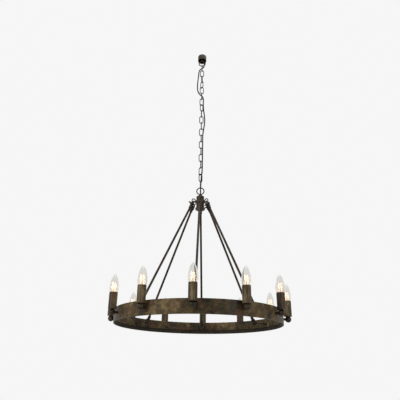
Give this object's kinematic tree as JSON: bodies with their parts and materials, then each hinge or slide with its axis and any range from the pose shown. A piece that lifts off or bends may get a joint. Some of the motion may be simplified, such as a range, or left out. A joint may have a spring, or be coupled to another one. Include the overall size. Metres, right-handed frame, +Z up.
{
  "type": "wagon wheel chandelier",
  "caption": "Round chandelier: a flat metal band carrying candle lamps on its outside, hung by rods from a turned hub on a link chain with its cord woven through.",
  "frame": {"origin": "on the axis, at the top face of the ceiling collar, where the stem leaves it", "axes": "+Z up along the stem; -Y is the front, towards lamp 1; +X to the right seen from the front"},
  "size_m": [0.7572, 0.7572, 1.396],
  "materials": {
    "aged_rim": "aged bronze paint, mottled",
    "aged_sleeve": "aged bronze paint, streaked down its length",
    "dark_bronze": "dark bronze paint, satin",
    "rod_paint": "dark bronze paint, satin",
    "chain_steel": "dark bronze plated, satin",
    "fastener_steel": "dark bronze, satin",
    "nipple_steel": "threaded",
    "bulb_glass": "clear",
    "holder_plastic": "moulded",
    "gland_plastic": "moulded",
    "cord": "black, matt"
  },
  "bodies": {
    "ceiling_fitting": {"ceiling_stem": "dark_bronze", "ceiling_collar": "dark_bronze", "ceiling_loop": "chain_steel", "ceiling_gland": "gland_plastic"},
    "chain": {"chain_links": "chain_steel", "supply_cord": "cord"},
    "chandelier": {"hub_loop": "chain_steel", "hub_cap": "dark_bronze", "hub_body": "dark_bronze", "hub_flange": "dark_bronze", "hub_dome_nut": "dark_bronze", "hub_eye_bolts": "fastener_steel", "hub_gland": "gland_plastic", "supply_cord_tail": "cord", "support_rod_1": "rod_paint", "support_rod_2": "rod_paint", "support_rod_3": "rod_paint", "support_rod_4": "rod_paint", "support_rod_5": "rod_paint", "support_rod_6": "rod_paint", "joining_rings": "fastener_steel", "upper_clevises": "rod_paint", "lower_clevises": "rod_paint", "clevis_bolts": "fastener_steel", "clevis_nuts": "fastener_steel", "wheel_rim": "aged_rim", "inner_hoop": "aged_rim", "wheel_eye_bolts": "fastener_steel", "wheel_eye_nuts": "fastener_steel", "lamp_bolts": "fastener_steel", "lamp_balls": "dark_bronze", "lamp_spacers": "fastener_steel", "lamp_nipples": "nipple_steel", "sleeve_seats": "dark_bronze", "lamp_holders": "holder_plastic", "candle_sleeve_01": "aged_sleeve", "candle_sleeve_02": "aged_sleeve", "candle_sleeve_03": "aged_sleeve", "candle_sleeve_04": "aged_sleeve", "candle_sleeve_05": "aged_sleeve", "candle_sleeve_06": "aged_sleeve", "candle_sleeve_07": "aged_sleeve", "candle_sleeve_08": "aged_sleeve", "candle_sleeve_09": "aged_sleeve", "candle_sleeve_10": "aged_sleeve", "candle_sleeve_11": "aged_sleeve", "candle_sleeve_12": "aged_sleeve"},
    "bulb_01": {"candle_bulb_01": "bulb_glass"},
    "bulb_02": {"candle_bulb_02": "bulb_glass"},
    "bulb_03": {"candle_bulb_03": "bulb_glass"},
    "bulb_04": {"candle_bulb_04": "bulb_glass"},
    "bulb_05": {"candle_bulb_05": "bulb_glass"},
    "bulb_06": {"candle_bulb_06": "bulb_glass"},
    "bulb_07": {"candle_bulb_07": "bulb_glass"},
    "bulb_08": {"candle_bulb_08": "bulb_glass"},
    "bulb_09": {"candle_bulb_09": "bulb_glass"},
    "bulb_10": {"candle_bulb_10": "bulb_glass"},
    "bulb_11": {"candle_bulb_11": "bulb_glass"},
    "bulb_12": {"candle_bulb_12": "bulb_glass"}
  },
  "joints": [
    {"name": "chain_swing", "type": "hinge", "parent": "ceiling_fitting", "child": "chain", "pos_m": [0, 0, -0.0625], "axis": [1, 0, 0], "range_deg": [-10, 10], "deforming": ["supply_cord"]},
    {"name": "wheel_tilt", "type": "hinge", "parent": "chain", "child": "chandelier", "pos_m": [0, 0, -0.774], "axis": [0, 1, 0], "range_deg": [-10, 10], "deforming": ["supply_cord_tail"]},
    {"name": "bulb_01_unscrew", "type": "hinge", "parent": "chandelier", "child": "bulb_01", "pos_m": [0, -0.361, -1.3], "axis": [0, 0, 1], "range_deg": [0, 1080]},
    {"name": "bulb_02_unscrew", "type": "hinge", "parent": "chandelier", "child": "bulb_02", "pos_m": [0.1805, -0.31263, -1.3], "axis": [0, 0, 1], "range_deg": [0, 1080]},
    {"name": "bulb_03_unscrew", "type": "hinge", "parent": "chandelier", "child": "bulb_03", "pos_m": [0.31263, -0.1805, -1.3], "axis": [0, 0, 1], "range_deg": [0, 1080]},
    {"name": "bulb_04_unscrew", "type": "hinge", "parent": "chandelier", "child": "bulb_04", "pos_m": [0.361, 0, -1.3], "axis": [0, 0, 1], "range_deg": [0, 1080]},
    {"name": "bulb_05_unscrew", "type": "hinge", "parent": "chandelier", "child": "bulb_05", "pos_m": [0.31263, 0.1805, -1.3], "axis": [0, 0, 1], "range_deg": [0, 1080]},
    {"name": "bulb_06_unscrew", "type": "hinge", "parent": "chandelier", "child": "bulb_06", "pos_m": [0.1805, 0.31263, -1.3], "axis": [0, 0, 1], "range_deg": [0, 1080]},
    {"name": "bulb_07_unscrew", "type": "hinge", "parent": "chandelier", "child": "bulb_07", "pos_m": [0, 0.361, -1.3], "axis": [0, 0, 1], "range_deg": [0, 1080]},
    {"name": "bulb_08_unscrew", "type": "hinge", "parent": "chandelier", "child": "bulb_08", "pos_m": [-0.1805, 0.31263, -1.3], "axis": [0, 0, 1], "range_deg": [0, 1080]},
    {"name": "bulb_09_unscrew", "type": "hinge", "parent": "chandelier", "child": "bulb_09", "pos_m": [-0.31263, 0.1805, -1.3], "axis": [0, 0, 1], "range_deg": [0, 1080]},
    {"name": "bulb_10_unscrew", "type": "hinge", "parent": "chandelier", "child": "bulb_10", "pos_m": [-0.361, 0, -1.3], "axis": [0, 0, 1], "range_deg": [0, 1080]},
    {"name": "bulb_11_unscrew", "type": "hinge", "parent": "chandelier", "child": "bulb_11", "pos_m": [-0.31263, -0.1805, -1.3], "axis": [0, 0, 1], "range_deg": [0, 1080]},
    {"name": "bulb_12_unscrew", "type": "hinge", "parent": "chandelier", "child": "bulb_12", "pos_m": [-0.1805, -0.31263, -1.3], "axis": [0, 0, 1], "range_deg": [0, 1080]}
  ]
}
